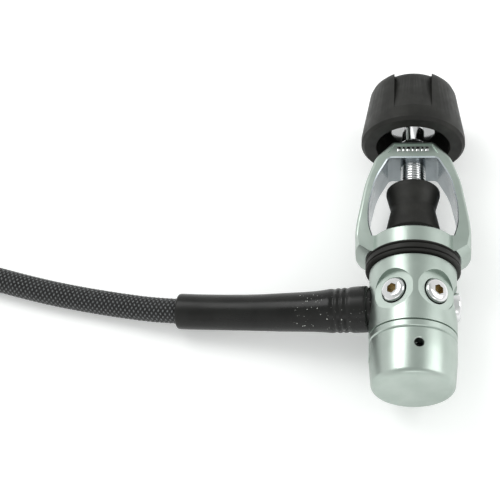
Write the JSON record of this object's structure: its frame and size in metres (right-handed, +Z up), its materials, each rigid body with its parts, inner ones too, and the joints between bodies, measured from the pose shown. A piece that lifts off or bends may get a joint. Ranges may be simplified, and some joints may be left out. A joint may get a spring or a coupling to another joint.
{
  "type": "scuba regulator first stage",
  "caption": "Yoke-clamp diving regulator first stage with a hand knob, dust cap, port plugs and a braided low-pressure hose.",
  "frame": {"origin": "centre of the first stage's footprint on the surface it lies on, the hose left out", "axes": "+Y along the first stage's own axis from the end cap to the clamp knob, +Z up, +X away from the hose"},
  "size_m": [0.3553, 0.2, 0.0462],
  "materials": {
    "satin_chrome": "pearl satin chrome plate on brass",
    "polished_chrome": "bright polished chrome plate",
    "brass": "bare machined brass",
    "sintered_bronze": "sintered, matt",
    "stainless_steel": "ground",
    "white_polymer": "smooth",
    "seal_rubber": "smooth satin",
    "black_rubber": "fine moulded texture, satin",
    "sleeve_rubber": "satin, lightly scuffed",
    "braided_nylon": "braided strands with a soft sheen",
    "tie_fabric": "woven hook-and-loop strap"
  },
  "bodies": {
    "first_stage": {"body": "satin_chrome", "end_cap": "satin_chrome", "bumper_ring": "black_rubber", "yoke": "satin_chrome", "yoke_retainer": "polished_chrome", "retainer_o_ring": "seal_rubber", "inlet_filter": "sintered_bronze", "filter_snap_ring": "stainless_steel", "seat_orifice": "brass", "piston_stem_o_ring": "seal_rubber", "main_spring": "stainless_steel", "spring_shim": "white_polymer", "low_pressure_plugs": "polished_chrome", "high_pressure_plugs": "polished_chrome", "low_pressure_o_rings": "seal_rubber", "high_pressure_o_rings": "seal_rubber", "hose_fitting": "polished_chrome", "fitting_o_ring": "seal_rubber", "hose_ferrule": "polished_chrome", "hose_sleeve": "sleeve_rubber", "hose": "braided_nylon", "hose_coil": "braided_nylon", "hose_tail": "braided_nylon", "coil_ties": "tie_fabric", "far_ferrule": "polished_chrome", "hose_nipple": "polished_chrome", "nipple_o_ring": "seal_rubber"},
    "screw_carrier": {"screw_ring": "seal_rubber"},
    "clamp_knob": {"yoke_screw": "polished_chrome", "knob_hub": "polished_chrome", "knob_pin": "stainless_steel", "knob_grip": "black_rubber"},
    "valve_dust_cap": {"dust_cap": "black_rubber"},
    "piston_group": {"piston": "stainless_steel", "piston_seat": "white_polymer", "piston_head_o_ring": "seal_rubber"},
    "hose_nut": {"swivel_nut": "polished_chrome"}
  },
  "joints": [
    {"name": "screw_travel", "type": "slide", "parent": "first_stage", "child": "screw_carrier", "axis": [0, 1, 0], "range_m": [0, 0.018]},
    {"name": "knob_turn", "type": "hinge", "parent": "screw_carrier", "child": "clamp_knob", "pos_m": [0, 0.05515, 0.0231], "axis": [0, 1, 0], "range_deg": [0, 5102.4]},
    {"name": "dust_cap_lift", "type": "slide", "parent": "first_stage", "child": "valve_dust_cap", "axis": [0, 1, 0], "range_m": [0, 0.0095]},
    {"name": "piston_slide", "type": "slide", "parent": "first_stage", "child": "piston_group", "axis": [0, 1, 0], "range_m": [0, 0.0011], "stiffness_N_per_m": 3000, "deforming": ["main_spring"]},
    {"name": "nut_swivel", "type": "hinge", "parent": "first_stage", "child": "hose_nut", "pos_m": [-0.3221, 0.099, 0.0099], "axis": [0, 1, 0], "continuous": true}
  ],
  "couplings": [
    {"joint": "screw_travel", "follows": "knob_turn", "m_per_rad": 0.00020213},
    {"joint": "dust_cap_lift", "follows": "knob_turn", "m_per_rad": 0.00010668}
  ]
}
